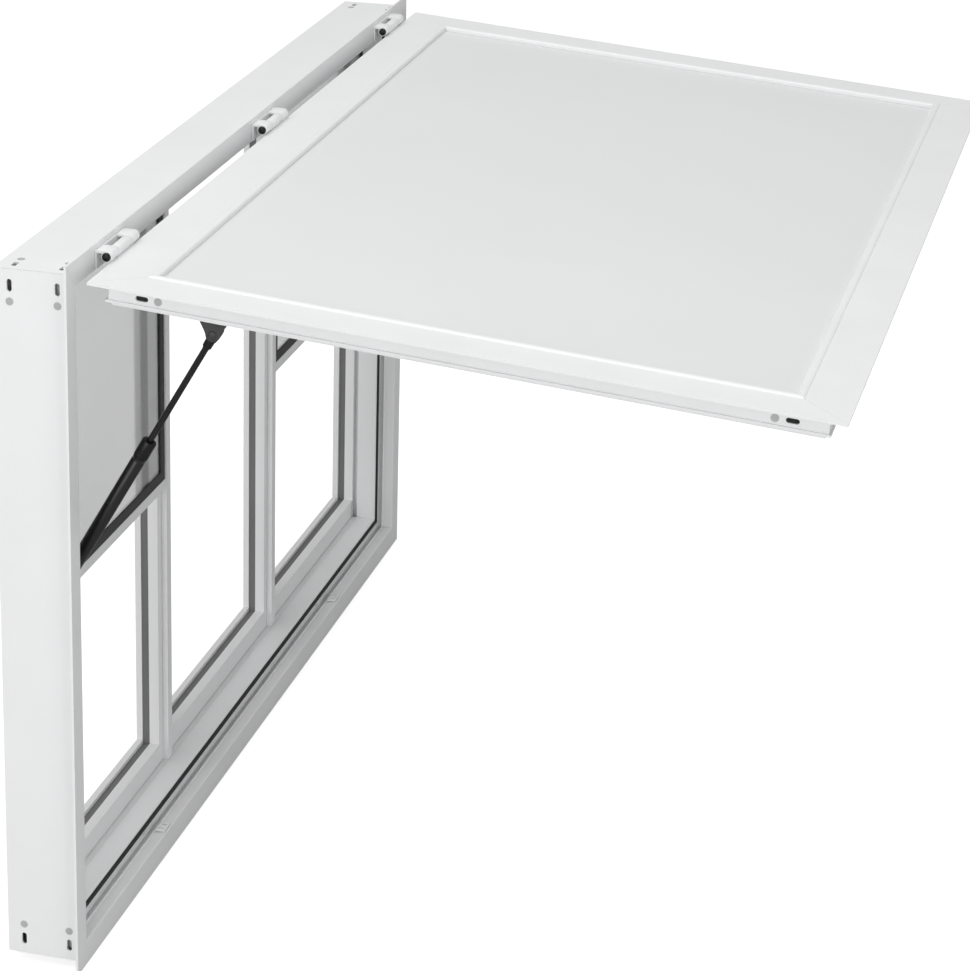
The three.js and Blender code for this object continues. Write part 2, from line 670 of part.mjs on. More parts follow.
function jambBracket() {
  const plate = alongX([
    [FOOT_Y - 10, footZ - 26], [FOOT_Y + 10, footZ - 26], [FOOT_Y + 10, footZ + 26],
    [FOOT_Y - 10, footZ + 26],
  ], revealX - 2.5, revealX);
  const boss = rodX(strutX + EYE_W / 2 + 0.8, revealX - 1, FOOT_Y, footZ, 7);
  const stud = rodX(strutX - EYE_W / 2 - 2.5, revealX - 1, FOOT_Y, footZ, STUD_R);
  const cap = rodX(strutX - EYE_W / 2 - 3.2, strutX - EYE_W / 2 - 0.6, FOOT_Y, footZ, 6);
  const holes = [-18, 18].map((dz) => rodX(revealX - 4, revealX + 1, FOOT_Y, footZ + dz, 2.4));
  return cut(join([plate, boss, stud, cap]), holes);
}

// Drawn with the door closed, like the rest of the door.
function doorBracket() {
  const y = AXIS_Y + HEAD_IN;
  const z = AXIS_Z - HEAD_ALONG;
  const back = DOOR_FACE_Y + DOOR_DEPTH + GAP;
  const plateX0 = DOOR_W / 2 - DOOR_TUBE + 1;
  const plateX1 = DOOR_W / 2 - DOOR_FIN1 - 1;
  const earX = strutX + 11;
  const plate = cut(box(plateX0, plateX1, back, back + 2.5, z - 26, z + 26),
    [-18, 18].map((dz) => rodY(back - 1, back + 4, plateX1 - 6, z + dz, 2.4)));
  const ear = alongX([
    [back, z - 24], [y - 2, z - 9.5], [y + 6, z - 7.5], [y + 9.5, z], [y + 6, z + 7.5],
    [y - 2, z + 9.5], [back, z + 24],
  ], earX, earX + 3);
  const stud = rodX(strutX + EYE_W / 2 + 0.5, earX + 1, y, z, STUD_R);
  return join([plate, ear, stud]);
}

for (const [name, sign] of [['left', -1], ['right', 1]]) {
  const turn = (body) => (sign > 0 ? body : mirrorX(body));
  add(`strut_${name}_jamb_bracket`, turn(jambBracket()), BLACK);
  add(`strut_${name}_cylinder`, turn(placeStrut(strutCylinder())), BLACK);
  add(`strut_${name}_collar`, turn(placeStrut(strutCollar())), BLACK);
  add(`strut_${name}_rod`, turn(placeStrut(strutRod())), STEEL);
  add(`strut_${name}_rod_end`, turn(placeStrut(strutRodEnd())), BLACK);
  add(`strut_${name}_door_bracket`, turn(openDoor(doorBracket())), BLACK);
}

// ---------- keepers and latches ----------

function keeper(x) {
  const plate = box(x - 12.5, x + 12.5, 3, 17, LIP + GAP, LIP + 2.6);
  const slots = [-5.5, 5.5].map((dx) => box(x + dx - 1.5, x + dx + 1.5, 6, 14, LIP, LIP + 3));
  return cut(plate, slots);
}

add('sill_keeper_left', keeper(-LATCH_X), WHITE);
add('sill_keeper_right', keeper(LATCH_X), WHITE);

const bodyY0 = DOOR_FACE_Y + DOOR_DEPTH + GAP;
const bodyY1 = bodyY0 + LATCH_BODY_T;
const tailY0 = bodyY0 + TAIL_LIFT;
const tailY1 = sealY0 - 0.4;

// The tail points to -X when free and down into the sill channel when latched.
function latchBody(x) {
  const block = box(x - 15, x + 24, bodyY0, bodyY1, LATCH_Z - 8.5, LATCH_Z + 12);
  const pocket = box(x - 45, x + 8, bodyY0 + 0.9, tailY1 + 0.4, LATCH_Z - 40, LATCH_Z + 7);
  const bore = rodY(bodyY0 + 0.9, bodyY1 + 5, x, LATCH_Z, 4.3);
  return cut(block, [pocket, bore]);
}

function latchHandle(x) {
  const shaft = rodY(tailY0, bodyY1 + 2, x, LATCH_Z, 4);
  const tail = box(x - TAIL, x, tailY0, tailY1, LATCH_Z - 4, LATCH_Z + 4);
  const lever = box(x, x + LEVER, bodyY1 + 0.6, bodyY1 + 5.6, LATCH_Z - 5, LATCH_Z + 5);
  const knob = rodY(bodyY1 + 0.6, bodyY1 + 5.6, x + LEVER, LATCH_Z, 5);
  const hub = rodY(bodyY1 + 0.6, bodyY1 + 5.6, x, LATCH_Z, 8);
  return join([shaft, tail, lever, knob, hub]);
}

for (const [name, sign] of [['left', -1], ['right', 1]]) {
  const turn = (body) => (sign < 0 ? body : mirrorX(body));
  add(`latch_${name}_body`, openDoor(turn(latchBody(-LATCH_X))), BLACK);
  add(`latch_${name}_handle`, openDoor(turn(latchHandle(-LATCH_X))), BLACK);
}

export default part;
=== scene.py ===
# %% [markdown]
# # A serving window with its awning door open
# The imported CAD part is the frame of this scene: mitred aluminium members, a
# top-hung door and two gas struts. This file dresses it. Members whose shape is
# already right keep their CAD mesh and get a coating; struts, hinge barrels, seal,
# latches, plugs and screws are made again here as smooth pieces.

# %% Load the fixed frame
import json
import math

import bmesh
import bpy
from mathutils import Matrix, Vector


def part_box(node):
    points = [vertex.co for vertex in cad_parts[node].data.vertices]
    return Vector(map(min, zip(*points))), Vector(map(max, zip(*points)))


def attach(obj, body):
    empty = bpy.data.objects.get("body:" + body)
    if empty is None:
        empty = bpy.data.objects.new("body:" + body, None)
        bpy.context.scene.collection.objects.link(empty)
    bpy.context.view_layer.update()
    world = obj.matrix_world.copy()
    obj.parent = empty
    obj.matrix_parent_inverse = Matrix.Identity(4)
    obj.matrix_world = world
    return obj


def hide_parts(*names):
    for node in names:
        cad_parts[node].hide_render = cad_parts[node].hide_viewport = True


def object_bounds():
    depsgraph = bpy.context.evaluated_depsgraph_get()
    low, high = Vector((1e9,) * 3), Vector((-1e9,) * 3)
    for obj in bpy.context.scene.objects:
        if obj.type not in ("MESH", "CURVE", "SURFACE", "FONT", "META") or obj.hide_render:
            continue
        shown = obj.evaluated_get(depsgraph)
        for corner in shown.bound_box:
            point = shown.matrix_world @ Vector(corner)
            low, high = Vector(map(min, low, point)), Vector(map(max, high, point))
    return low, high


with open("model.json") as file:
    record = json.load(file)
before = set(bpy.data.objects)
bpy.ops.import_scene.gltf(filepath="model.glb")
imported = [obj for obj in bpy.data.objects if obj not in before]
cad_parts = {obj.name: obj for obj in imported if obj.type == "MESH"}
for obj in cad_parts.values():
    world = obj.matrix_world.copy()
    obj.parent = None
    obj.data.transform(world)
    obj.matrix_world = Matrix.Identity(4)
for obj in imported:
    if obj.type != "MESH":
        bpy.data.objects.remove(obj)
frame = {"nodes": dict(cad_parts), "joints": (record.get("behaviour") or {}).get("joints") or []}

MM = 0.001
cad_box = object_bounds()
nodes = frame["nodes"]
joints = {j["name"]: j for j in frame["joints"]}
print("CAD box", [tuple(round(v, 3) for v in corner) for corner in cad_box])

# %% [markdown]
# ## Where things are
# The door is drawn open, so anything on it is placed by how far it lies along the
# door from the hinge axis and how deep it sits on the indoor side. Both directions
# come from the hinge joint, so nothing is measured twice. The third runs across the
# window, from left to right.

# %% Directions on the open door
door_joint = joints["door_hinge"]
hinge_axis = Vector(door_joint["pos_m"])
open_angle = math.radians(door_joint["range_deg"][1])
ALONG = Vector((0.0, -math.sin(open_angle), -math.cos(open_angle)))
INWARD = Vector((0.0, math.cos(open_angle), -math.sin(open_angle)))
ACROSS = Vector((1.0, 0.0, 0.0))


def on_door(x, along, inward):
    """A point on the open door, in metres from the hinge axis."""
    return Vector((x, hinge_axis.y, hinge_axis.z)) + ALONG * along + INWARD * inward


def middle(node):
    """The middle of a CAD node's box."""
    low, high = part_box(node)
    return (low + high) / 2


print("hinge axis at", tuple(round(v, 4) for v in hinge_axis))

# %% [markdown]
# ## Shared effects
# Powder coat, moulded nylon and rubber all have a fine uneven surface, and every
# finish carries faint marks from handling. Each effect is a node group built once,
# then placed in the materials with its own numbers.


# %% Node group helper
def new_group(name, inputs, outputs):
    """An empty shader node group with named sockets."""
    group = bpy.data.node_groups.new(name, "ShaderNodeTree")
    for label, kind, value in inputs:
        socket = group.interface.new_socket(name=label, in_out="INPUT", socket_type=kind)
        if value is not None:
            socket.default_value = value
    for label, kind in outputs:
        group.interface.new_socket(name=label, in_out="OUTPUT", socket_type=kind)
    return group, group.nodes.new("NodeGroupInput"), group.nodes.new("NodeGroupOutput")


# %% [markdown]
# ### Orange peel
# Powder is baked on as a melt, so it dries with a fine pebbled skin and a slower
# wave under it. Two noises of different size, blended by one number, give that. The
# group returns only a height, and each material decides how deep its bump is.

# %% Orange peel: the fine pebbling of a baked coat
def make_orange_peel():
    group, given, result = new_group(
        "orange peel",
        [
            ("Vector", "NodeSocketVector", None),
            ("Scale", "NodeSocketFloat", 900.0),
            ("Waviness", "NodeSocketFloat", 0.35),
        ],
        [("Height", "NodeSocketFloat")],
    )
    link = group.links.new
    fine = group.nodes.new("ShaderNodeTexNoise")
    fine.inputs["Detail"].default_value = 2.0
    slow = group.nodes.new("ShaderNodeTexNoise")
    slow.inputs["Detail"].default_value = 1.0
    slower = group.nodes.new("ShaderNodeMath")
    slower.operation = "MULTIPLY"
    slower.inputs[1].default_value = 0.04
    blend = group.nodes.new("ShaderNodeMix")
    blend.data_type = "FLOAT"
    link(given.outputs["Vector"], fine.inputs["Vector"])
    link(given.outputs["Scale"], fine.inputs["Scale"])
    link(given.outputs["Vector"], slow.inputs["Vector"])
    link(given.outputs["Scale"], slower.inputs[0])
    link(slower.outputs[0], slow.inputs["Scale"])
    link(given.outputs["Waviness"], blend.inputs["Factor"])
    link(fine.outputs["Fac"], blend.inputs["A"])
    link(slow.outputs["Fac"], blend.inputs["B"])
    link(blend.outputs["Result"], result.inputs["Height"])
    return group


orange_peel = make_orange_peel()
print("group", orange_peel.name)


# %% [markdown]
# ### Handling marks
# Hands, weather and cloths leave wide, faint patches. A single noise is pushed away
# from its middle value to set the contrast and then clamped, which leaves a mask.
# The same mask moves both tint and gloss, since a worn patch changes both at once.

# %% Handling marks: broad, faint patches of wear and dust
def make_handling_marks():
    group, given, result = new_group(
        "handling marks",
        [
            ("Vector", "NodeSocketVector", None),
            ("Scale", "NodeSocketFloat", 9.0),
            ("Contrast", "NodeSocketFloat", 0.5),
        ],
        [("Mask", "NodeSocketFloat")],
    )
    link = group.links.new
    noise = group.nodes.new("ShaderNodeTexNoise")
    noise.inputs["Detail"].default_value = 6.0
    noise.inputs["Roughness"].default_value = 0.62
    centred = group.nodes.new("ShaderNodeMath")
    centred.operation = "SUBTRACT"
    centred.inputs[1].default_value = 0.5
    scaled = group.nodes.new("ShaderNodeMath")
    scaled.operation = "MULTIPLY_ADD"
    scaled.inputs[2].default_value = 0.5
    scaled.use_clamp = True
    link(given.outputs["Vector"], noise.inputs["Vector"])
    link(given.outputs["Scale"], noise.inputs["Scale"])
    link(noise.outputs["Fac"], centred.inputs[0])
    link(centred.outputs[0], scaled.inputs[0])
    link(given.outputs["Contrast"], scaled.inputs[1])
    link(scaled.outputs[0], result.inputs["Mask"])
    return group


handling_marks = make_handling_marks()
print("group", handling_marks.name)


# %% [markdown]
# ## Finishes
# One recipe serves every opaque finish: a tint that drifts a little between two
# close colours, a roughness that follows the same mask, and a bump from the orange
# peel group. The numbers are what make it a coat, a rubber or a nylon.


# %% The opaque finish recipe
BUMP_DEPTH = 0.0004


def finish(name, light, dark, rough, bump, scale=900.0, metallic=0.0, coat=0.0, drift=9.0,
           specular=0.5):
    """A two-tone material with uneven gloss and a fine bumped surface."""
    material = bpy.data.materials.new(name)
    material.use_nodes = True
    tree = material.node_tree
    link = tree.links.new
    shader = tree.nodes["Principled BSDF"]
    shader.inputs["Metallic"].default_value = metallic
    shader.inputs["Coat Weight"].default_value = coat
    shader.inputs["Coat Roughness"].default_value = 0.2
    shader.inputs["Specular IOR Level"].default_value = specular
    place = tree.nodes.new("ShaderNodeTexCoord")
    marks = tree.nodes.new("ShaderNodeGroup")
    marks.node_tree = handling_marks
    marks.inputs["Scale"].default_value = drift
    marks.inputs["Contrast"].default_value = 1.6
    tint = tree.nodes.new("ShaderNodeMix")
    tint.data_type = "RGBA"
    tint.inputs["A"].default_value = (*dark, 1.0)
    tint.inputs["B"].default_value = (*light, 1.0)
    gloss = tree.nodes.new("ShaderNodeMapRange")
    gloss.inputs["To Min"].default_value = rough[0]
    gloss.inputs["To Max"].default_value = rough[1]
    peel = tree.nodes.new("ShaderNodeGroup")
    peel.node_tree = orange_peel
    peel.inputs["Scale"].default_value = scale
    height = tree.nodes.new("ShaderNodeBump")
    height.inputs["Strength"].default_value = bump
    height.inputs["Distance"].default_value = BUMP_DEPTH
    link(place.outputs["Object"], marks.inputs["Vector"])
    link(place.outputs["Object"], peel.inputs["Vector"])
    link(marks.outputs["Mask"], tint.inputs["Factor"])
    link(tint.outputs["Result"], shader.inputs["Base Color"])
    link(marks.outputs["Mask"], gloss.inputs["Value"])
    link(gloss.outputs["Result"], shader.inputs["Roughness"])
    link(peel.outputs["Height"], height.inputs["Height"])
    link(height.outputs["Normal"], shader.inputs["Normal"])
    return material


def grey(value, blue=0.0):
    """A near-neutral colour."""
    return (value, value * (1.0 + blue / 2), value * (1.0 + blue))


# %% [markdown]
# ### The palette
# White coats differ only a little in tint and gloss: the door's flat sheet is duller
# than the extrusions, and the hinges are the smoothest. Rubbers are rough with weak
# reflections and nylon is smoother. The screws are bare metal. The nitrided rod is
# only partly metallic, since a dark skin covers it. The cast keys are painted near
# black and only partly metallic: that is painted shade, so the slots they sit in read
# dark.

# %% The coats, rubbers, plastics and metals
white_coat = finish("white powder coat", grey(0.84, 0.012), grey(0.81, 0.01), (0.36, 0.5), 0.10)
door_sheet = finish("white door sheet", grey(0.77, 0.012), grey(0.75, 0.01), (0.42, 0.52), 0.05,
                    scale=500.0, drift=3.0)
hinge_coat = finish("white hinge coat", grey(0.84, 0.01), grey(0.81, 0.01), (0.28, 0.4), 0.08)
seal_rubber = finish("black seal rubber", grey(0.022), grey(0.014), (0.55, 0.75), 0.35,
                     scale=1400.0, specular=0.35)
gasket_rubber = finish("dark grey gasket rubber", grey(0.20), grey(0.16), (0.6, 0.8), 0.3,
                       scale=1400.0, specular=0.3)
sash_rubber = finish("charcoal sash rubber", grey(0.055), grey(0.04), (0.55, 0.75), 0.3,
                     scale=1400.0, specular=0.35)
strut_paint = finish("black strut paint", grey(0.009), grey(0.006), (0.26, 0.36), 0.12,
                     scale=1100.0, coat=0.1, drift=30.0, specular=0.35)
black_nylon = finish("black moulded nylon", grey(0.007), grey(0.005), (0.26, 0.36), 0.12,
                     scale=1500.0, drift=40.0, specular=0.3)
dark_rod = finish("dark nitrided rod", grey(0.020), grey(0.014), (0.2, 0.3), 0.05,
                  scale=2500.0, metallic=0.5, drift=60.0)
bracket_paint = finish("dark grey bracket paint", grey(0.045), grey(0.03), (0.4, 0.52), 0.2,
                       scale=1300.0, drift=40.0)
plug_plastic = finish("grey push-in plug", grey(0.46), grey(0.40), (0.4, 0.55), 0.15,
                      scale=1600.0, drift=60.0)
screw_zinc = finish("zinc plated screw", grey(0.72), grey(0.6), (0.22, 0.36), 0.1,
                    scale=2200.0, metallic=1.0, drift=80.0)
# The corner keys are painted near black: painted shade standing in for the dark of the slots they
# sit in.
slot_shade_key = finish("corner key painted dark as slot shade", grey(0.022), grey(0.014), (0.55, 0.7), 0.4,
                   scale=700.0, metallic=0.2, specular=0.3)
print(len(bpy.data.materials), "finishes so far")


# %% [markdown]
# ## Tinted glass
# The sash glass is a lightly grey pane. Real glass refracts and reflects, so it
# keeps plain transmission, and only a film of dust changes over its surface: it
# shows in the roughness, never as colour painted on.


# %% Tinted glass
def tinted_glass():
    material = bpy.data.materials.new("tinted glass")
    material.use_nodes = True
    tree = material.node_tree
    link = tree.links.new
    shader = tree.nodes["Principled BSDF"]
    shader.inputs["Transmission Weight"].default_value = 1.0
    shader.inputs["IOR"].default_value = 1.5
    place = tree.nodes.new("ShaderNodeTexCoord")
    marks = tree.nodes.new("ShaderNodeGroup")
    marks.node_tree = handling_marks
    marks.inputs["Scale"].default_value = 5.0
    marks.inputs["Contrast"].default_value = 1.2
    tint = tree.nodes.new("ShaderNodeMix")
    tint.data_type = "RGBA"
    tint.inputs["A"].default_value = (0.44, 0.442, 0.445, 1.0)
    tint.inputs["B"].default_value = (0.50, 0.502, 0.505, 1.0)
    film = tree.nodes.new("ShaderNodeMapRange")
    film.inputs["To Min"].default_value = 0.02
    film.inputs["To Max"].default_value = 0.09
    link(place.outputs["Object"], marks.inputs["Vector"])
    link(marks.outputs["Mask"], tint.inputs["Factor"])
    link(tint.outputs["Result"], shader.inputs["Base Color"])
    link(marks.outputs["Mask"], film.inputs["Value"])
    link(film.outputs["Result"], shader.inputs["Roughness"])
    return material


sash_glass = tinted_glass()
print("glass ready")

# %% [markdown]
# ## Coating the members that keep their CAD shape
# An extrusion is already exact in CAD: its mitres, grooves and slots need no new
# mesh. It only needs its material put in its slot.

# %% Put finishes on the CAD members
COATS = [
    (("frame_sill", "frame_head", "frame_jamb", "sill_", "mullion_"), white_coat),
    (("door_rail", "door_stile"), white_coat),
    (("door_panel",), door_sheet),
    # the keys take the near-black finish, painted shade for the slots around them
    (("frame_key", "door_key"), slot_shade_key),
    (("glazing_gasket",), gasket_rubber),
    (("sash_left_gasket", "sash_right_gasket"), sash_rubber),
    (("sash_left_glass", "sash_right_glass"), sash_glass),
    (("sash_left_rail", "sash_right_rail"), white_coat),
]


def coat(node, material):
    """Fills the object's material slots with one finish."""
    mesh = nodes[node].data
    mesh.materials.clear()
    mesh.materials.append(material)


coated = 0
for starts, material in COATS:
    for node in nodes:
        if node.startswith(starts):
            coat(node, material)
            coated += 1
print("coated", coated, "CAD members")


# %% [markdown]
# ## Making new pieces
# A new piece is built straight in its place, so its object stays at the origin. A
# turned piece is a profile spun about an axis; edges sharper than 35 degrees stay
# crisp and all the others are smoothed.


# %% Mesh helpers
SHARP_EDGE = math.radians(35)
HINGES = ("left", "middle", "right")
SIDES = (("left", -1), ("right", 1))


def finished_object(name, bm, material):
    """Turns a bmesh into an object with smooth faces and crisp sharp edges."""
    bmesh.ops.remove_doubles(bm, verts=bm.verts, dist=1e-7)
    bmesh.ops.recalc_face_normals(bm, faces=bm.faces)
    for face in bm.faces:
        face.smooth = True
    for edge in bm.edges:
        edge.smooth = edge.is_manifold and edge.calc_face_angle(0.0) < SHARP_EDGE
    mesh = bpy.data.meshes.new(name)
    bm.to_mesh(mesh)
    bm.free()
    mesh.materials.append(material)
    piece = bpy.data.objects.new(name, mesh)
    bpy.context.scene.collection.objects.link(piece)
    return piece


def stands_for(piece, body, slot, *replaced):
    """Parents a new piece to its body and hides the CAD nodes it is shown for."""
    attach(piece, body)
    if replaced:
        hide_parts(*replaced)


def turn_to(direction):
    """The rotation that takes +Z to a direction."""
    return direction.to_track_quat("Z", "Y").to_matrix().to_4x4()


def axes_to(first, second, third, origin):
    """The matrix that puts a drawing's three axes and its origin in space."""
    placing = Matrix.Identity(4)
    for row in range(3):
        placing[row][0], placing[row][1] = first[row], second[row]
        placing[row][2], placing[row][3] = third[row], origin[row]
    return placing


def spin(bm, profile, foot, direction, sides=48, hollow=False):
    """Turns a profile of (radius, height) in mm about an axis through foot.

    A hollow profile is a closed loop, so its last ring joins its first.
    """
    placing = Matrix.Translation(foot) @ turn_to(direction)
    rings = []
    for radius, height in profile:
        if radius < 1e-6:
            rings.append([bm.verts.new(placing @ Vector((0, 0, height * MM)))])
            continue
        ring = []
        for i in range(sides):
            angle = 2 * math.pi * i / sides
            spot = Vector((radius * math.cos(angle), radius * math.sin(angle), height)) * MM
            ring.append(bm.verts.new(placing @ spot))
        rings.append(ring)
    following = rings[1:] + rings[:1] if hollow else rings[1:]
    for lower, upper in zip(rings, following):
        for i in range(sides):
            j = (i + 1) % sides
            corners = [lower[i % len(lower)], lower[j % len(lower)],
                       upper[j % len(upper)], upper[i % len(upper)]]
            unique = list(dict.fromkeys(corners))
            if len(unique) > 2:
                bm.faces.new(unique)


def arc(radius, height, bulge, steps=6):
    """Points of a domed end: from the rim at radius up to the axis."""
    points = []
    for i in range(steps + 1):
        angle = math.pi / 2 * i / steps
        points.append((radius * math.cos(angle), height + bulge * math.sin(angle)))
    return points


def slab(bm, outline, thickness, placing, round_by=0.0, segments=3):
    """Adds a plate: an outline in mm in its own plane, thick along its third axis."""
    lower = [bm.verts.new(placing @ Vector((x * MM, y * MM, 0))) for x, y in outline]
    upper = [bm.verts.new(placing @ Vector((x * MM, y * MM, thickness * MM))) for x, y in outline]
    count = len(outline)
    faces = [bm.faces.new(list(reversed(lower))), bm.faces.new(upper)]
    for i in range(count):
        j = (i + 1) % count
        faces.append(bm.faces.new([lower[i], lower[j], upper[j], upper[i]]))
    if round_by:
        rims = {edge for face in faces[:2] for edge in face.edges}
        bmesh.ops.bevel(bm, geom=list(rims), offset=round_by * MM, segments=segments,
                        profile=0.5, affect="EDGES", clamp_overlap=True)


def rounded(points, radius, steps=4):
    """An outline with each corner replaced by an arc-like curve."""
    smooth = []
    count = len(points)
    for i in range(count):
        before, here, after = (Vector(points[(i + k) % count]) for k in (-1, 0, 1))
        reach = min(radius, (before - here).length / 2.2, (after - here).length / 2.2)
        start = here + (before - here).normalized() * reach
        end = here + (after - here).normalized() * reach
        for step in range(steps + 1):
            t = step / steps
            spot = start * (1 - t) ** 2 + here * (2 * t * (1 - t)) + end * t ** 2
            smooth.append((spot.x, spot.y))
    return smooth


print("mesh helpers ready")

# %% [markdown]
# ## Gas struts
# Each strut is a painted tube with a nylon collar at its mouth, a dark polished rod
# and a moulded ball socket. Their lengths are named once and their direction comes
# from the stroke joint. The tube and the collar are bored, because the rod slides
# deep into them when the door shuts.

# %% Strut sizes
TUBE_R = 8.8
TUBE_WALL = 1.2
TUBE_END = 205.4
TUBE_FLOOR = 20.0
COLLAR_R = 9.4
COLLAR_FOOT = 205.9
COLLAR_TOP = 231.0
ROD_R = 4.0
BORE_R = 4.35
SOCKET_R = 8.0
SOCKET_T = 10.0
GROOVES = 4
GROOVE_STEP = 1.8


def strut_lines(side):
    """The foot, the eye at the top, and the direction between them."""
    foot = Vector(joints[f"strut_{side}_swing"]["pos_m"])
    direction = Vector(joints[f"strut_{side}_stroke"]["axis"]).normalized()
    low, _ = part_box(f"strut_{side}_rod_end")
    top = (low.y + SOCKET_R * MM - foot.y) / direction.y
    return foot, foot + direction * top, direction


# %% [markdown]
# ### The tube and its collar
# The tube is drawn steel with a groove rolled in near its mouth, and the collar is
# moulded and grooved for grip. Both are turned, so each is one profile spun about the
# strut's axis. The eye at the tube's foot is a short turning across it.

# %% The tube and its collar
def strut_tube(side):
    foot, _, direction = strut_lines(side)
    bm = bmesh.new()
    profile = [(0, 7), (4.6, 7), (5.2, 8), (5.4, 11), (TUBE_R - 1.2, 13)]
    profile += [(TUBE_R - 0.4, 13.6), (TUBE_R, 15), (TUBE_R, TUBE_END - 6)]
    profile += [(TUBE_R - 0.5, TUBE_END - 5.2), (TUBE_R - 0.5, TUBE_END - 3.4)]
    profile += [(TUBE_R, TUBE_END - 2.6), (TUBE_R, TUBE_END), (TUBE_R - TUBE_WALL, TUBE_END)]
    profile += [(TUBE_R - TUBE_WALL, TUBE_FLOOR), (0, TUBE_FLOOR)]
    spin(bm, profile, foot, direction)
    eye = [(0, -5), (7.2, -5), (8, -4.2), (8, 4.2), (7.2, 5), (0, 5)]
    spin(bm, eye, foot, ACROSS)
    tube = finished_object(f"gas_strut_{side}_tube", bm, strut_paint)
    stands_for(tube, f"strut_{side}_tube", "black_steel", f"strut_{side}_cylinder")

    bm = bmesh.new()
    collar = [(BORE_R, COLLAR_FOOT), (COLLAR_R - 0.6, COLLAR_FOOT), (COLLAR_R, COLLAR_FOOT + 0.6)]
    for groove in range(GROOVES):
        base = COLLAR_FOOT + 3 + groove * GROOVE_STEP
        collar += [(COLLAR_R, base), (COLLAR_R - 0.35, base + 0.3), (COLLAR_R - 0.35, base + 0.8),
                   (COLLAR_R, base + 1.1)]
    collar += [(COLLAR_R, COLLAR_TOP - 1.6), (COLLAR_R - 0.5, COLLAR_TOP - 0.5)]
    collar += [(COLLAR_R - 1.6, COLLAR_TOP), (ROD_R + 1.6, COLLAR_TOP)]
    collar += [(ROD_R + 0.9, COLLAR_TOP - 1.4), (BORE_R, COLLAR_TOP - 1.6)]
    spin(bm, collar, foot, direction, hollow=True)
    nylon = finished_object(f"gas_strut_{side}_collar", bm, black_nylon)
    stands_for(nylon, f"strut_{side}_tube", "black_plastic", f"strut_{side}_collar")


for side, _ in SIDES:
    strut_tube(side)
print("two strut tubes with collars")


# %% [markdown]
# ### The rod and its ball socket
# The rod is drawn at its open length, with its foot hidden inside the collar. The
# socket is a flat moulding with rounded corners on a short neck. It is drawn in the
# plane of the strut and then thickened across it.

# %% The rod and its ball socket
def strut_rod(side):
    foot, eye, direction = strut_lines(side)
    length = (eye - foot).length / MM
    bm = bmesh.new()
    rod = [(0, COLLAR_TOP - 9), (ROD_R, COLLAR_TOP - 9), (ROD_R, length - 26)]
    rod += [(ROD_R + 0.5, length - 25), (ROD_R + 0.5, length - 20), (0, length - 20)]
    spin(bm, rod, foot, direction)
    shaft = finished_object(f"gas_strut_{side}_rod", bm, dark_rod)
    stands_for(shaft, f"strut_{side}_piston", "rod_nitride", f"strut_{side}_rod")

    bm = bmesh.new()
    neck = [(0, length - 23.6), (4.9, length - 23.6), (5.8, length - 22.6), (6, length - 14)]
    neck += [(6, length - 6), (0, length - 6)]
    spin(bm, neck, foot, direction)
    outline = rounded([(-7.2, -13), (7.2, -13), (8, -2), (8, 8), (-8, 8), (-8, -2)], 4.5)
    near_face = eye - ACROSS * (SOCKET_T / 2 * MM)
    placing = axes_to(direction.cross(ACROSS), direction, ACROSS, near_face)
    slab(bm, outline, SOCKET_T, placing, round_by=0.9)
    socket = finished_object(f"gas_strut_{side}_ball_socket", bm, black_nylon)
    stands_for(socket, f"strut_{side}_piston", "black_plastic", f"strut_{side}_rod_end")


for side, _ in SIDES:
    strut_rod(side)
print("two rods with ball sockets")

# %% [markdown]
# ## Strut brackets
# A bracket is a folded steel plate: a foot screwed to the member and an ear that
# carries the stud. The ear of the door bracket tapers to a round end.


# %% Door and jamb brackets
STUD_R = 4.0
STRUT_GAP = 19.2
STUD_CAP_R = 5.2
STRUT_X = 0.700
PIVOT_ALONG = 0.1514
PIVOT_INWARD = 0.0595
EAR_T = 3.0
EAR_SPAN = (0.711, 0.714)
FOOT_W = 19.0
FOOT_SPAN = (0.708, 0.727)
STUD_START = 0.0056
STUD_CAP_START = 0.0138
PLATE_T = 0.0025


def box_piece(bm, low, high, round_by):
    """Adds a block between two corners in metres, with rounded edges."""
    size = [(b - a) / MM for a, b in zip(low, high)]
    outline = [(0, 0), (size[0], 0), (size[0], size[1]), (0, size[1])]
    slab(bm, rounded(outline, round_by), size[2], Matrix.Translation(low), round_by=round_by / 2)


def left_end(span, outward):
    """Where a piece that spans two distances from the middle starts on its side."""
    return span[0] if outward > 0 else -span[1]


def door_bracket(side, outward):
    pivot = on_door(outward * STRUT_X, PIVOT_ALONG, PIVOT_INWARD)
    ear_x, foot_x = left_end(EAR_SPAN, outward), left_end(FOOT_SPAN, outward)
    basis = axes_to(ALONG, INWARD, ACROSS, (ear_x, pivot.y, pivot.z))
    bm = bmesh.new()
    outline = [(-24, -26.2), (24, -26.2), (9.5, -2), (7, 6.5), (0, 9.5), (-7, 6.5), (-9.5, -2)]
    slab(bm, rounded(outline, 3.0), EAR_T, basis, round_by=0.5)
    plate = basis.copy()
    plate[0][3] = foot_x
    foot = [(-26, -26.3), (26, -26.3), (26, -23.8), (-26, -23.8)]
    slab(bm, rounded(foot, 0.8), FOOT_W, plate, round_by=0.5)
    outwards = Vector((outward, 0, 0))
    start = pivot + Vector((outward * STUD_START, 0, 0))
    spin(bm, [(0, 0), (STUD_R, 0), (STUD_R, 7), (0, 7)], start, outwards, 32)
    cap = pivot + Vector((outward * STUD_CAP_START, 0, 0))
    dome = arc(STUD_CAP_R, 0.4, 1.6)
    spin(bm, [(0, 0), (STUD_CAP_R, 0)] + dome, cap, outwards, 32)
    piece = finished_object(f"strut_bracket_{side}_on_door", bm, bracket_paint)
    stands_for(piece, "awning_door", "black_steel", f"strut_{side}_door_bracket")


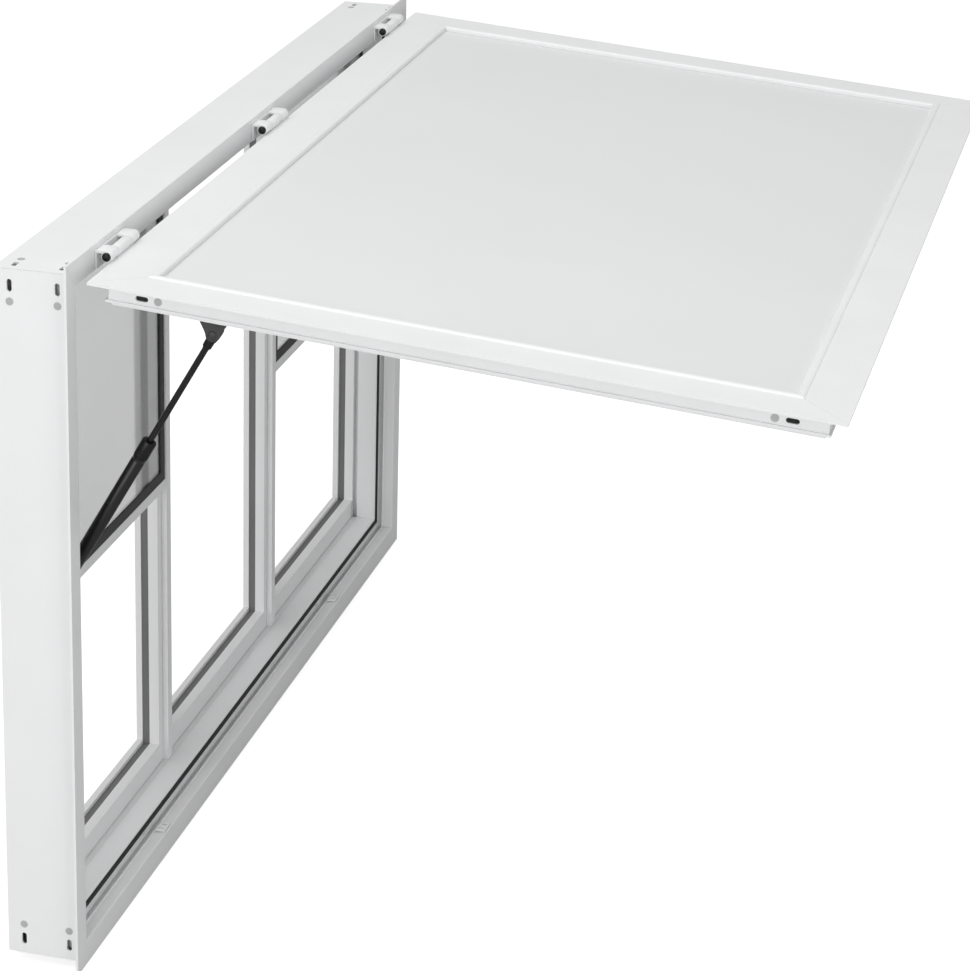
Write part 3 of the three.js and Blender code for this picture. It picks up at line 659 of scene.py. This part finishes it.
def jamb_bracket(side, outward):
    foot, _, _ = strut_lines(side)
    low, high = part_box(f"strut_{side}_jamb_bracket")
    face = low.x if outward < 0 else high.x
    inner = face - outward * PLATE_T
    bm = bmesh.new()
    near, far = sorted((face, inner))
    box_piece(bm, Vector((near, low.y, low.z)), Vector((far, high.y, high.z)), 1.0)
    inwards = Vector((-outward, 0, 0))
    boss = [(0, 0), (7.4, 0), (7, 2), (6.8, (STRUT_GAP - 5.8)), (0, STRUT_GAP - 5.8)]
    base = Vector((inner, foot.y, foot.z))
    spin(bm, boss, base, inwards, 40)
    stud = [(0, 0), (STUD_R, 0), (STUD_R, STRUT_GAP + 5.6), (6, STRUT_GAP + 5.7)]
    stud += [(6, STRUT_GAP + 7.2)] + arc(5.6, STRUT_GAP + 7.4, 0.8)
    spin(bm, stud, base, inwards, 40)
    piece = finished_object(f"strut_bracket_{side}_on_jamb", bm, bracket_paint)
    stands_for(piece, "frame", "black_steel", f"strut_{side}_jamb_bracket")


for side, outward in SIDES:
    door_bracket(side, outward)
    jamb_bracket(side, outward)
print("four strut brackets")

# %% [markdown]
# ## Hinges
# A hinge shows as a white barrel in three knuckles with a black domed cap at each
# end. One leaf lies on the head flange. The other turns behind the door's lip, so it
# is hidden from outside. Both keep their CAD shape with their edges eased by a
# bevel, since a stamped leaf never has a knife edge.


# %% Eased copies of CAD leaves, latches and keepers
FLAT_WITHIN = math.radians(0.5)
ROUND_ABOVE = math.radians(30)


def eased(node, name, material, width=0.4, segments=2):
    """A copy of a CAD node with its flat faces merged and its edges rounded."""
    bm = bmesh.new()
    bm.from_mesh(nodes[node].data)
    bmesh.ops.remove_doubles(bm, verts=bm.verts, dist=1e-6)
    bmesh.ops.dissolve_limit(bm, angle_limit=FLAT_WITHIN, verts=bm.verts, edges=bm.edges)
    sharp = [e for e in bm.edges if e.is_manifold and e.calc_face_angle(0.0) > ROUND_ABOVE]
    bmesh.ops.bevel(bm, geom=sharp, offset=width * MM, segments=segments, profile=0.6,
                    affect="EDGES", clamp_overlap=True)
    bmesh.ops.triangulate(bm, faces=[f for f in bm.faces if len(f.verts) > 4])
    return finished_object(name, bm, material)


for place in HINGES:
    leaf = eased(f"hinge_{place}_frame_leaf", f"hinge_{place}_frame_leaf", hinge_coat)
    stands_for(leaf, "frame", "hinge_white", f"hinge_{place}_frame_leaf")
    leaf = eased(f"hinge_{place}_door_leaf", f"hinge_{place}_door_leaf", hinge_coat)
    stands_for(leaf, "awning_door", "hinge_white", f"hinge_{place}_door_leaf")
print("six hinge leaves")


# %% [markdown]
# ### Pins
# A hinge pin is a thin rod hidden in the knuckles with a moulded cap pressed on each
# end. One profile makes all of it: up one dome, along the rod, and down the other.

# %% Hinge pins with domed caps
CAP_R = 5.5
CAP_LENGTH = 4.0
CAP_RIM = 1.2
PIN_R = 2.5


def hinge_pin(place):
    low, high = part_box(f"hinge_{place}_pin")
    centre = (low + high) / 2
    length = (high.x - low.x) / MM
    bm = bmesh.new()
    shoulder = CAP_LENGTH - CAP_RIM
    dome = arc(CAP_R, 0, shoulder)
    profile = [(radius, shoulder - rise) for radius, rise in reversed(dome)]
    profile += [(CAP_R, CAP_LENGTH), (PIN_R, CAP_LENGTH)]
    profile += [(PIN_R, length - CAP_LENGTH), (CAP_R, length - CAP_LENGTH)]
    profile += [(radius, length - shoulder + rise) for radius, rise in dome]
    spin(bm, profile, Vector((low.x, centre.y, centre.z)), ACROSS, 40)
    pin = finished_object(f"hinge_{place}_pin", bm, black_nylon)
    stands_for(pin, "frame", "black_plastic", f"hinge_{place}_pin")


for place in HINGES:
    hinge_pin(place)
print("three hinge pins")

# %% [markdown]
# ## Latches, keepers and sash rails
# These are small castings and cut strips. Eased copies of the CAD solids are right
# for them, with a wider rounding on the latch handle, which a hand turns.

# %% Latches and keepers
for side, _ in SIDES:
    body = eased(f"latch_{side}_body", f"latch_{side}_body", black_nylon, width=0.7)
    stands_for(body, "awning_door", "black_steel", f"latch_{side}_body")
    handle = eased(f"latch_{side}_handle", f"latch_{side}_handle", black_nylon, width=0.9,
                   segments=3)
    stands_for(handle, f"latch_{side}", "black_steel", f"latch_{side}_handle")
    keeper = eased(f"sill_keeper_{side}", f"keeper_{side}", hinge_coat, width=0.4)
    stands_for(keeper, "frame", "white_powder_coat", f"sill_keeper_{side}")
print("latches and keepers")

# %% [markdown]
# ## The door seal
# The seal is a rubber strip with a round bulb, pushed into the groove of the
# upstand and mitred at the corners. Its section is swept round the rectangle that
# the CAD ring gives, with one mitre plane at every corner.

# %% Sweep the seal section round its groove
seal_low, seal_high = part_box("door_seal")
SEAL_W = 7.4 * MM
SEAL_BULB = 2.9 * MM


def seal_section(steps=10):
    """(inward, forward) points: a flat foot in the groove and a round bulb in front."""
    points = [(0.0, seal_high.y), (0.0, seal_low.y + SEAL_BULB)]
    half = SEAL_W / 2
    for i in range(steps + 1):
        angle = math.pi * (1 - i / steps)
        lift = math.sin(angle) * SEAL_BULB
        points.append((half + half * math.cos(angle), seal_low.y + SEAL_BULB - lift))
    return points + [(SEAL_W, seal_high.y)]


def sweep_seal():
    bm = bmesh.new()
    low, high = seal_low, seal_high
    corners = [(low.x, low.z, 1, 1), (high.x, low.z, -1, 1), (high.x, high.z, -1, -1),
               (low.x, high.z, 1, -1)]
    section = list(dict.fromkeys(seal_section()))
    rings = []
    for x, z, sx, sz in corners:
        rings.append([bm.verts.new((x + sx * inset, y, z + sz * inset)) for inset, y in section])
    count = len(section)
    for start, end in zip(rings, rings[1:] + rings[:1]):
        for i in range(count):
            j = (i + 1) % count
            bm.faces.new([start[i], start[j], end[j], end[i]])
    return finished_object("door_seal", bm, seal_rubber)


seal = sweep_seal()
stands_for(seal, "frame", "seal_rubber", "door_seal")
print("door seal with", len(seal.data.vertices), "points")

# %% [markdown]
# ## Plugs and screws
# The same small part repeats all over the window: grey push-in plugs beside the
# corner slots and low screws in the hinge and strut plates. One Geometry Nodes
# tree makes both. It puts a chamfered disc, with or without a hexagon recess, on
# every point and turns it to the point's facing.


# %% The fastener tree
def make_fastener_tree():
    tree = bpy.data.node_groups.new("fasteners", "GeometryNodeTree")
    face = tree.interface.new_socket
    face(name="Geometry", in_out="INPUT", socket_type="NodeSocketGeometry")
    for label, value in (("Radius", 0.005), ("Top Radius", 0.0045), ("Height", 0.0004),
                         ("Recess", 0.001)):
        face(name=label, in_out="INPUT", socket_type="NodeSocketFloat").default_value = value
    face(name="Has Recess", in_out="INPUT", socket_type="NodeSocketBool")
    face(name="Finish", in_out="INPUT", socket_type="NodeSocketMaterial")
    face(name="Geometry", in_out="OUTPUT", socket_type="NodeSocketGeometry")
    make, link = tree.nodes.new, tree.links.new
    given, result = make("NodeGroupInput"), make("NodeGroupOutput")
    disc = make("GeometryNodeMeshCone")
    disc.inputs["Vertices"].default_value = 32
    socket = make("GeometryNodeMeshCone")
    socket.inputs["Vertices"].default_value = 6
    lift = make("GeometryNodeTransform")
    half = make("ShaderNodeMath")
    half.operation = "MULTIPLY"
    half.inputs[1].default_value = 0.4
    offset = make("ShaderNodeCombineXYZ")
    drill = make("GeometryNodeMeshBoolean")
    drill.operation = "DIFFERENCE"
    choose = make("GeometryNodeSwitch")
    choose.input_type = "GEOMETRY"
    facing = make("GeometryNodeInputNamedAttribute")
    facing.data_type = "FLOAT_VECTOR"
    facing.inputs["Name"].default_value = "facing"
    aim = make("FunctionNodeAlignRotationToVector")
    aim.axis = "Z"
    copies = make("GeometryNodeInstanceOnPoints")
    real = make("GeometryNodeRealizeInstances")
    paint = make("GeometryNodeSetMaterial")
    link(given.outputs["Radius"], disc.inputs["Radius Bottom"])
    link(given.outputs["Top Radius"], disc.inputs["Radius Top"])
    link(given.outputs["Height"], disc.inputs["Depth"])
    link(given.outputs["Recess"], socket.inputs["Radius Bottom"])
    link(given.outputs["Recess"], socket.inputs["Radius Top"])
    link(given.outputs["Height"], socket.inputs["Depth"])
    link(given.outputs["Height"], half.inputs[0])
    link(half.outputs[0], offset.inputs["Z"])
    link(socket.outputs["Mesh"], lift.inputs["Geometry"])
    link(offset.outputs[0], lift.inputs["Translation"])
    link(disc.outputs["Mesh"], drill.inputs["Mesh 1"])
    link(lift.outputs["Geometry"], drill.inputs["Mesh 2"])
    link(given.outputs["Has Recess"], choose.inputs["Switch"])
    link(disc.outputs["Mesh"], choose.inputs["False"])
    link(drill.outputs["Mesh"], choose.inputs["True"])
    link(facing.outputs["Attribute"], aim.inputs["Vector"])
    link(given.outputs["Geometry"], copies.inputs["Points"])
    link(choose.outputs["Output"], copies.inputs["Instance"])
    link(aim.outputs["Rotation"], copies.inputs["Rotation"])
    link(copies.outputs["Instances"], real.inputs["Geometry"])
    link(real.outputs["Geometry"], paint.inputs["Geometry"])
    link(given.outputs["Finish"], paint.inputs["Material"])
    link(paint.outputs["Geometry"], result.inputs["Geometry"])
    return tree


fastener_tree = make_fastener_tree()
SOCKETS = {s.name: s.identifier for s in fastener_tree.interface.items_tree
           if s.in_out == "INPUT"}
print("fastener inputs:", sorted(SOCKETS))


# %% [markdown]
# ### Placing them
# A guide mesh of loose points carries one facing per point. The tree turns it into
# real faces and the guide is thrown away, so each group of fasteners ends as one
# plain mesh that rides on its body.

# %% Place fasteners on points
LEAST_RECESS = 0.1


def fasteners(name, spots, body, slot, material, radius, top, height, recess=0.0):
    """One mesh of fasteners on (point, facing) pairs, riding on a body."""
    guide = bpy.data.meshes.new(name + " points")
    guide.from_pydata([tuple(point) for point, _ in spots], [], [])
    facing = guide.attributes.new("facing", "FLOAT_VECTOR", "POINT")
    for item, (_, direction) in zip(facing.data, spots):
        item.vector = direction
    holder = bpy.data.objects.new(name + " points", guide)
    bpy.context.scene.collection.objects.link(holder)
    modifier = holder.modifiers.new("fasteners", "NODES")
    modifier.node_group = fastener_tree
    modifier[SOCKETS["Radius"]] = radius * MM
    modifier[SOCKETS["Top Radius"]] = top * MM
    modifier[SOCKETS["Height"]] = height * MM
    modifier[SOCKETS["Recess"]] = max(recess, LEAST_RECESS) * MM
    modifier[SOCKETS["Has Recess"]] = recess > 0
    modifier[SOCKETS["Finish"]] = material
    evaluated = holder.evaluated_get(bpy.context.evaluated_depsgraph_get())
    mesh = bpy.data.meshes.new_from_object(evaluated)
    bpy.data.objects.remove(holder)
    mesh.name = name
    piece = bpy.data.objects.new(name, mesh)
    bpy.context.scene.collection.objects.link(piece)
    stands_for(piece, body, slot)
    print(name, "-", len(spots), "places,", len(mesh.polygons), "faces")
    return piece


# %% [markdown]
# ### Plugs
# Each corner has two rows of plugs on its two outer faces, one near the front and one
# near the back. The door's stiles have one plug near each end. A plug's foot starts a
# little below the face, so it never floats above it. Its shape is the radius at the
# foot, the radius at the top and the height, in mm.

# %% Plugs beside the corner slots
PLUG_SHAPE = (5.2, 4.9, 0.5)
PLUG_IN = 40.8 * MM
FRAME_FRONT = 51.0
PLUG_ROWS = [(depth - FRAME_FRONT) * MM for depth in (16.3, 77.4)]
BOX_HALF_WIDTH = 0.762
BOX_HEIGHT = 0.9144
PLUG_FOOT = -0.3 * MM
DOOR_HALF_WIDTH = 0.7584
DOOR_LENGTH = 0.900
DOOR_EDGE = 0.0052
DOOR_FACE = 0.0069
STILE_WEB = 0.0210
STILE_PLUG_IN = 0.0832
STILE_PLUG_DEEP = 0.0155


def frame_plug_spots():
    spots = []
    for y in PLUG_ROWS:
        for _, sx in SIDES:
            for z in (PLUG_IN, BOX_HEIGHT - PLUG_IN):
                face = sx * (BOX_HALF_WIDTH + PLUG_FOOT)
                spots.append((Vector((face, y, z)), Vector((sx, 0, 0))))
            x = sx * (BOX_HALF_WIDTH - PLUG_IN)
            spots.append((Vector((x, y, BOX_HEIGHT + PLUG_FOOT)), Vector((0, 0, 1))))
            spots.append((Vector((x, y, -PLUG_FOOT)), Vector((0, 0, -1))))
    return spots


def door_plug_spots():
    web = DOOR_HALF_WIDTH - STILE_WEB + PLUG_FOOT
    ends = (DOOR_EDGE + STILE_PLUG_IN, DOOR_EDGE + DOOR_LENGTH - STILE_PLUG_IN)
    deep = DOOR_FACE + STILE_PLUG_DEEP
    return [(on_door(sx * web, along, deep), Vector((sx, 0, 0)))
            for _, sx in SIDES for along in ends]


fasteners("frame_plugs", frame_plug_spots(), "frame", "gasket_rubber", plug_plastic,
          *PLUG_SHAPE)
fasteners("door_plugs", door_plug_spots(), "awning_door", "gasket_rubber", plug_plastic,
          *PLUG_SHAPE)

# %% [markdown]
# ### Screws
# Four low screws hold each hinge leaf and two hold each strut plate. With the door
# shut the two leaves face each other closely, so their screws are almost flush. A
# screw's shape is a plug's three sizes and then the radius of its hexagon recess.

# %% Screws in the hinge leaves and strut plates
LEAF_SCREW = (3.3, 2.8, 0.5, 1.3)
PLATE_SCREW = (4.0, 3.0, 1.4, 1.5)
LEAF_STEPS = (-0.036, -0.012, 0.012, 0.036)
LEAF_FACE = 0.0130
LEAF_DROP = 0.009
DOOR_LEAF_ALONG = 0.0135
DOOR_LEAF_INWARD = 0.01175
PLATE_STEPS = (-0.018, 0.018)
PLATE_SCREW_IN = 0.0023
DOOR_PLATE_X = 0.7215
DOOR_PLATE_INWARD = 0.0354


def leaf_screw_spots():
    on_frame, on_leaf = [], []
    front, level = hinge_axis.y + LEAF_FACE, hinge_axis.z - LEAF_DROP
    for place in HINGES:
        for step in LEAF_STEPS:
            x = middle(f"hinge_{place}_pin").x + step
            on_frame.append((Vector((x, front, level)), Vector((0, -1, 0))))
            on_leaf.append((on_door(x, DOOR_LEAF_ALONG, DOOR_LEAF_INWARD), INWARD))
    return on_frame, on_leaf


frame_screws, door_screws = leaf_screw_spots()
fasteners("hinge_screws_in_frame", frame_screws, "frame", "aluminium_key", screw_zinc,
          *LEAF_SCREW)
fasteners("hinge_screws_in_door", door_screws, "awning_door", "aluminium_key", screw_zinc,
          *LEAF_SCREW)


def bracket_screw_spots():
    on_frame, on_door_plate = [], []
    for side, sx in SIDES:
        foot, _, _ = strut_lines(side)
        low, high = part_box(f"strut_{side}_jamb_bracket")
        face = (low.x if sx < 0 else high.x) - sx * PLATE_SCREW_IN
        for step in PLATE_STEPS:
            on_frame.append((Vector((face, foot.y, foot.z + step)), Vector((-sx, 0, 0))))
            spot = on_door(sx * DOOR_PLATE_X, PIVOT_ALONG + step, DOOR_PLATE_INWARD)
            on_door_plate.append((spot, INWARD))
    return on_frame, on_door_plate


frame_screws, door_screws = bracket_screw_spots()
fasteners("bracket_screws_in_jamb", frame_screws, "frame", "aluminium_key", screw_zinc,
          *PLATE_SCREW)
fasteners("bracket_screws_in_door", door_screws, "awning_door", "aluminium_key", screw_zinc,
          *PLATE_SCREW)

# %% [markdown]
# ## Floor
# The window stands on a plain pale floor. It glows only for camera rays and for rays
# through the glass, so it looks white and yet throws little light back up under the
# door.

# %% Floor
FLOOR_SIZE = 60.0
FLOOR_DROP = 0.0005
FLOOR_GLOW = 0.75
lowest = cad_box[0].z


def pale_floor():
    bm = bmesh.new()
    bmesh.ops.create_grid(bm, x_segments=2, y_segments=2, size=FLOOR_SIZE)
    bmesh.ops.translate(bm, verts=bm.verts, vec=(0, 0, lowest - FLOOR_DROP))
    material = finish("pale floor", grey(0.56), grey(0.54), (0.7, 0.8), 0.02, drift=1.0)
    tree = material.node_tree
    shader = tree.nodes["Principled BSDF"]
    ray = tree.nodes.new("ShaderNodeLightPath")
    seen = tree.nodes.new("ShaderNodeMath")
    seen.operation = "MAXIMUM"
    glow = tree.nodes.new("ShaderNodeMath")
    glow.operation = "MULTIPLY"
    glow.inputs[1].default_value = FLOOR_GLOW
    tree.links.new(ray.outputs["Is Camera Ray"], seen.inputs[0])
    tree.links.new(ray.outputs["Is Transmission Ray"], seen.inputs[1])
    tree.links.new(seen.outputs[0], glow.inputs[0])
    tree.links.new(glow.outputs[0], shader.inputs["Emission Strength"])
    shader.inputs["Emission Color"].default_value = (1.0, 1.0, 1.0, 1.0)
    floor = finished_object("floor", bm, material)


pale_floor()
print("floor at", round(lowest, 4))


# %% [markdown]
# ## Sky and lamps
# A soft white sky lights everything evenly. A large lamp above and one on the left
# jamb's side keep the tops and sides bright, so the faces towards the street fall to
# a mid grey and the section of the frame can be read. A weak lamp in front lifts the
# faces that the open door shades.

# %% Sky and lamps
def soft_lamp(name, spot, aim, size, power):
    lamp = bpy.data.lights.new(name, "AREA")
    lamp.shape = "RECTANGLE"
    lamp.size, lamp.size_y = size
    lamp.energy = power
    holder = bpy.data.objects.new(name, lamp)
    holder.location = spot
    holder.rotation_euler = (Vector(aim) - Vector(spot)).to_track_quat("-Z", "Y").to_euler()
    bpy.context.scene.collection.objects.link(holder)


world = bpy.data.worlds.new("soft sky")
bpy.context.scene.world = world
world.use_nodes = True
sky = world.node_tree.nodes["Background"]
sky.inputs["Color"].default_value = (1.0, 1.0, 1.0, 1.0)
sky.inputs["Strength"].default_value = 0.45
soft_lamp("overhead lamp", (-0.8, -0.2, 4.5), (0, -0.4, 0.4), (5.0, 5.0), 120.0)
soft_lamp("side lamp", (-5.0, 0.6, 1.6), (0, -0.1, 0.4), (3.0, 3.0), 75.0)
soft_lamp("front lamp", (-3.2, -4.4, 0.9), (0, 0, 0.45), (3.0, 2.0), 46.0)
bpy.context.scene.view_settings.view_transform = "Standard"

# %% [markdown]
# ## Camera
# The camera stands to the left of the window, a little outdoors and above it. A
# long lens keeps the verticals nearly parallel, and a small shift frames the open
# door without turning the camera.

# %% Camera
CAMERA_PITCH = 71.1
CAMERA_YAW = -72.15
camera_data = bpy.data.cameras.new("camera")
camera_data.lens = 119.25
camera_data.sensor_width = 36.0
camera_data.shift_x = 0.2590
camera_data.shift_y = -0.1268
camera = bpy.data.objects.new("camera", camera_data)
camera.location = (-4.149, -1.3444, 2.0446)
camera.rotation_euler = (math.radians(CAMERA_PITCH), 0.0, math.radians(CAMERA_YAW))
bpy.context.scene.collection.objects.link(camera)
bpy.context.scene.camera = camera
print("camera lens", camera_data.lens, "mm")
